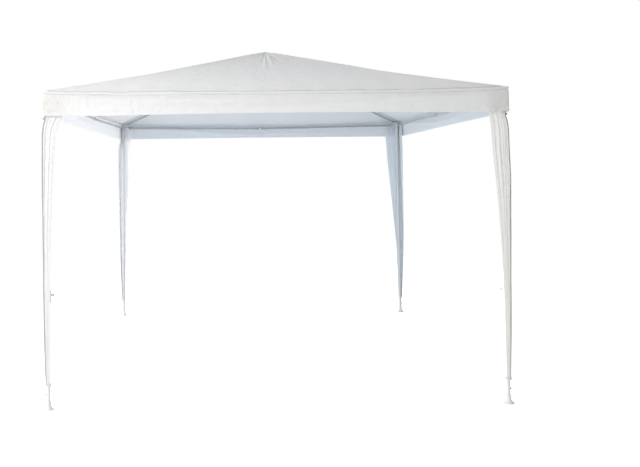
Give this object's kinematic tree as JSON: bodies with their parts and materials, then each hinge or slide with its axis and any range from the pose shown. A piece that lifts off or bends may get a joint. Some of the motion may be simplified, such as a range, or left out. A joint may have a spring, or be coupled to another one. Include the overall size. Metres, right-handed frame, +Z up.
{
  "type": "pop up gazebo",
  "caption": "Square pop-up garden gazebo: telescopic legs, hinged eave rails and hip rafters that fold to a bundle, peaked cloth roof with a border and a gathered drape on each leg.",
  "frame": {"origin": "on the ground under the peak, at the middle of the four feet", "axes": "+Z up, +X along the front side to the right, +Y from the front to the back"},
  "size_m": [3.011, 3.007, 2.537],
  "materials": {
    "white_powder_coat": "satin white powder coat on steel tube",
    "white_nylon": "moulded white nylon",
    "grey_plastic": "moulded grey plastic",
    "zinc_steel": "zinc plated rivets",
    "white_polyester": "white polyester cloth, cool blue-grey where light comes through it"
  },
  "bodies": {
    "leg_fl": {"upper_leg_fl": "white_powder_coat", "corner_fitting_fl": "white_nylon", "leg_lock_collar_fl": "white_nylon", "leg_drape_fl": "white_polyester", "canopy": "white_polyester"},
    "leg_fr": {"upper_leg_fr": "white_powder_coat", "corner_fitting_fr": "white_nylon", "leg_lock_collar_fr": "white_nylon", "leg_drape_fr": "white_polyester"},
    "leg_bl": {"upper_leg_bl": "white_powder_coat", "corner_fitting_bl": "white_nylon", "leg_lock_collar_bl": "white_nylon", "leg_drape_bl": "white_polyester"},
    "leg_br": {"upper_leg_br": "white_powder_coat", "corner_fitting_br": "white_nylon", "leg_lock_collar_br": "white_nylon", "leg_drape_br": "white_polyester"},
    "lower_leg_fl": {"lower_leg_fl": "white_powder_coat", "foot_fl": "white_nylon"},
    "corner_knob_fl": {"corner_pull_knob_fl": "grey_plastic"},
    "leg_knob_fl": {"leg_lock_knob_fl": "white_nylon"},
    "lower_leg_fr": {"lower_leg_fr": "white_powder_coat", "foot_fr": "white_nylon"},
    "corner_knob_fr": {"corner_pull_knob_fr": "grey_plastic"},
    "leg_knob_fr": {"leg_lock_knob_fr": "white_nylon"},
    "lower_leg_bl": {"lower_leg_bl": "white_powder_coat", "foot_bl": "white_nylon"},
    "corner_knob_bl": {"corner_pull_knob_bl": "grey_plastic"},
    "leg_knob_bl": {"leg_lock_knob_bl": "white_nylon"},
    "lower_leg_br": {"lower_leg_br": "white_powder_coat", "foot_br": "white_nylon"},
    "corner_knob_br": {"corner_pull_knob_br": "grey_plastic"},
    "leg_knob_br": {"leg_lock_knob_br": "white_nylon"},
    "front_rail_left": {"front_rail_left": "white_powder_coat", "front_rail_hinge_pin": "zinc_steel"},
    "front_rail_right": {"front_rail_right": "white_powder_coat"},
    "left_rail_front": {"left_rail_front": "white_powder_coat", "left_rail_hinge_pin": "zinc_steel"},
    "left_rail_back": {"left_rail_back": "white_powder_coat"},
    "right_rail_front": {"right_rail_front": "white_powder_coat", "right_rail_hinge_pin": "zinc_steel"},
    "right_rail_back": {"right_rail_back": "white_powder_coat"},
    "back_rail_left": {"back_rail_left": "white_powder_coat", "back_rail_hinge_pin": "zinc_steel"},
    "back_rail_right": {"back_rail_right": "white_powder_coat"},
    "rafter_outer_fl": {"hip_rafter_outer_fl": "white_powder_coat", "hip_rafter_elbow_pin_fl": "zinc_steel"},
    "rafter_inner_fl": {"hip_rafter_inner_fl": "white_powder_coat"},
    "rafter_outer_fr": {"hip_rafter_outer_fr": "white_powder_coat", "hip_rafter_elbow_pin_fr": "zinc_steel"},
    "rafter_inner_fr": {"hip_rafter_inner_fr": "white_powder_coat"},
    "rafter_outer_bl": {"hip_rafter_outer_bl": "white_powder_coat", "hip_rafter_elbow_pin_bl": "zinc_steel"},
    "rafter_inner_bl": {"hip_rafter_inner_bl": "white_powder_coat"},
    "rafter_outer_br": {"hip_rafter_outer_br": "white_powder_coat", "hip_rafter_elbow_pin_br": "zinc_steel"},
    "rafter_inner_br": {"hip_rafter_inner_br": "white_powder_coat"},
    "hub": {"peak_hub": "white_nylon", "peak_cap": "white_nylon"}
  },
  "joints": [
    {"name": "frame_fold", "type": "hinge", "parent": "leg_fl", "child": "front_rail_left", "pos_m": [-1.418, -1.47, 2], "axis": [0, 1, 0], "range_deg": [0, 86], "deforming": ["canopy"]},
    {"name": "front_rail_mid_hinge", "type": "hinge", "parent": "front_rail_left", "child": "front_rail_right", "pos_m": [0, -1.47, 1.9802], "axis": [0, -1, 0], "range_deg": [0, 172]},
    {"name": "front_rail_at_leg_fr", "type": "hinge", "parent": "front_rail_right", "child": "leg_fr", "pos_m": [1.418, -1.47, 2], "axis": [0, 1, 0], "range_deg": [0, 86]},
    {"name": "left_rail_at_leg_fl", "type": "hinge", "parent": "leg_fl", "child": "left_rail_front", "pos_m": [-1.47, -1.418, 2], "axis": [-1, 0, 0], "range_deg": [0, 86]},
    {"name": "left_rail_mid_hinge", "type": "hinge", "parent": "left_rail_front", "child": "left_rail_back", "pos_m": [-1.47, 0, 1.9802], "axis": [1, 0, 0], "range_deg": [0, 172]},
    {"name": "left_rail_at_leg_bl", "type": "hinge", "parent": "left_rail_back", "child": "leg_bl", "pos_m": [-1.47, 1.418, 2], "axis": [-1, 0, 0], "range_deg": [0, 86]},
    {"name": "right_rail_at_leg_fr", "type": "hinge", "parent": "leg_fr", "child": "right_rail_front", "pos_m": [1.47, -1.418, 2], "axis": [-1, 0, 0], "range_deg": [0, 86]},
    {"name": "right_rail_mid_hinge", "type": "hinge", "parent": "right_rail_front", "child": "right_rail_back", "pos_m": [1.47, 0, 1.9802], "axis": [1, 0, 0], "range_deg": [0, 172]},
    {"name": "right_rail_at_leg_br", "type": "hinge", "parent": "right_rail_back", "child": "leg_br", "pos_m": [1.47, 1.418, 2], "axis": [-1, 0, 0], "range_deg": [0, 86]},
    {"name": "back_rail_at_leg_bl", "type": "hinge", "parent": "leg_bl", "child": "back_rail_left", "pos_m": [-1.418, 1.47, 2], "axis": [0, 1, 0], "range_deg": [0, 86]},
    {"name": "back_rail_mid_hinge", "type": "hinge", "parent": "back_rail_left", "child": "back_rail_right", "pos_m": [0, 1.47, 1.9802], "axis": [0, -1, 0], "range_deg": [0, 172]},
    {"name": "rafter_fl_at_leg", "type": "hinge", "parent": "leg_fl", "child": "rafter_outer_fl", "pos_m": [-1.4304, -1.4304, 2.028], "axis": [-0.7071, 0.7071, 0], "range_deg": [0, 101]},
    {"name": "rafter_fl_elbow", "type": "hinge", "parent": "rafter_outer_fl", "child": "rafter_inner_fl", "pos_m": [-0.85496, -0.85496, 2.21199], "axis": [0.7071, -0.7071, 0], "range_deg": [0, 175]},
    {"name": "rafter_fl_at_hub", "type": "hinge", "parent": "rafter_inner_fl", "child": "hub", "pos_m": [-0.03818, -0.03818, 2.503], "axis": [-0.7071, 0.7071, 0], "range_deg": [0, 74]},
    {"name": "rafter_fr_at_leg", "type": "hinge", "parent": "leg_fr", "child": "rafter_outer_fr", "pos_m": [1.4304, -1.4304, 2.028], "axis": [-0.7071, -0.7071, 0], "range_deg": [0, 101]},
    {"name": "rafter_fr_elbow", "type": "hinge", "parent": "rafter_outer_fr", "child": "rafter_inner_fr", "pos_m": [0.85496, -0.85496, 2.21199], "axis": [0.7071, 0.7071, 0], "range_deg": [0, 175]},
    {"name": "rafter_bl_at_leg", "type": "hinge", "parent": "leg_bl", "child": "rafter_outer_bl", "pos_m": [-1.4304, 1.4304, 2.028], "axis": [0.7071, 0.7071, 0], "range_deg": [0, 101]},
    {"name": "rafter_bl_elbow", "type": "hinge", "parent": "rafter_outer_bl", "child": "rafter_inner_bl", "pos_m": [-0.85496, 0.85496, 2.21199], "axis": [-0.7071, -0.7071, 0], "range_deg": [0, 175]},
    {"name": "rafter_br_at_leg", "type": "hinge", "parent": "leg_br", "child": "rafter_outer_br", "pos_m": [1.4304, 1.4304, 2.028], "axis": [0.7071, -0.7071, 0], "range_deg": [0, 101]},
    {"name": "rafter_br_elbow", "type": "hinge", "parent": "rafter_outer_br", "child": "rafter_inner_br", "pos_m": [0.85496, 0.85496, 2.21199], "axis": [-0.7071, 0.7071, 0], "range_deg": [0, 175]},
    {"name": "leg_slide_fl", "type": "slide", "parent": "leg_fl", "child": "lower_leg_fl", "axis": [0, 0, 1], "range_m": [0, 0.42], "stiffness_N_per_m": 300000, "deforming": ["leg_drape_fl"]},
    {"name": "leg_slide_fr", "type": "slide", "parent": "leg_fr", "child": "lower_leg_fr", "axis": [0, 0, 1], "range_m": [0, 0.42], "stiffness_N_per_m": 300000, "deforming": ["leg_drape_fr"]},
    {"name": "leg_slide_bl", "type": "slide", "parent": "leg_bl", "child": "lower_leg_bl", "axis": [0, 0, 1], "range_m": [0, 0.42], "stiffness_N_per_m": 300000, "deforming": ["leg_drape_bl"]},
    {"name": "leg_slide_br", "type": "slide", "parent": "leg_br", "child": "lower_leg_br", "axis": [0, 0, 1], "range_m": [0, 0.42], "stiffness_N_per_m": 300000, "deforming": ["leg_drape_br"]},
    {"name": "corner_knob_pull_fl", "type": "slide", "parent": "leg_fl", "child": "corner_knob_fl", "axis": [-1, 0, 0], "range_m": [0, 0.006], "stiffness_N_per_m": 600},
    {"name": "corner_knob_pull_fr", "type": "slide", "parent": "leg_fr", "child": "corner_knob_fr", "axis": [1, 0, 0], "range_m": [0, 0.006], "stiffness_N_per_m": 600},
    {"name": "corner_knob_pull_bl", "type": "slide", "parent": "leg_bl", "child": "corner_knob_bl", "axis": [-1, 0, 0], "range_m": [0, 0.006], "stiffness_N_per_m": 600},
    {"name": "corner_knob_pull_br", "type": "slide", "parent": "leg_br", "child": "corner_knob_br", "axis": [1, 0, 0], "range_m": [0, 0.006], "stiffness_N_per_m": 600},
    {"name": "leg_knob_pull_fl", "type": "slide", "parent": "leg_fl", "child": "leg_knob_fl", "axis": [0.7071, 0.7071, 0], "range_m": [0, 0.006], "stiffness_N_per_m": 600},
    {"name": "leg_knob_pull_fr", "type": "slide", "parent": "leg_fr", "child": "leg_knob_fr", "axis": [-0.7071, 0.7071, 0], "range_m": [0, 0.006], "stiffness_N_per_m": 600},
    {"name": "leg_knob_pull_bl", "type": "slide", "parent": "leg_bl", "child": "leg_knob_bl", "axis": [0.7071, -0.7071, 0], "range_m": [0, 0.006], "stiffness_N_per_m": 600},
    {"name": "leg_knob_pull_br", "type": "slide", "parent": "leg_br", "child": "leg_knob_br", "axis": [-0.7071, -0.7071, 0], "range_m": [0, 0.006], "stiffness_N_per_m": 600}
  ],
  "couplings": [
    {"joint": "front_rail_mid_hinge", "follows": "frame_fold", "ratio": 2},
    {"joint": "front_rail_at_leg_fr", "follows": "frame_fold", "ratio": 1},
    {"joint": "left_rail_at_leg_fl", "follows": "frame_fold", "ratio": 1},
    {"joint": "left_rail_mid_hinge", "follows": "frame_fold", "ratio": 2},
    {"joint": "left_rail_at_leg_bl", "follows": "frame_fold", "ratio": 1},
    {"joint": "right_rail_at_leg_fr", "follows": "frame_fold", "ratio": 1},
    {"joint": "right_rail_mid_hinge", "follows": "frame_fold", "ratio": 2},
    {"joint": "right_rail_at_leg_br", "follows": "frame_fold", "ratio": 1},
    {"joint": "back_rail_at_leg_bl", "follows": "frame_fold", "ratio": 1},
    {"joint": "back_rail_mid_hinge", "follows": "frame_fold", "ratio": 2},
    {"joint": "rafter_fl_at_leg", "follows": "frame_fold", "ratio": 1.1727},
    {"joint": "rafter_fl_elbow", "follows": "frame_fold", "ratio": 2.0277},
    {"joint": "rafter_fl_at_hub", "follows": "frame_fold", "ratio": 0.855},
    {"joint": "rafter_fr_at_leg", "follows": "frame_fold", "ratio": 1.1727},
    {"joint": "rafter_fr_elbow", "follows": "frame_fold", "ratio": 2.0277},
    {"joint": "rafter_bl_at_leg", "follows": "frame_fold", "ratio": 1.1727},
    {"joint": "rafter_bl_elbow", "follows": "frame_fold", "ratio": 2.0277},
    {"joint": "rafter_br_at_leg", "follows": "frame_fold", "ratio": 1.1727},
    {"joint": "rafter_br_elbow", "follows": "frame_fold", "ratio": 2.0277}
  ]
}
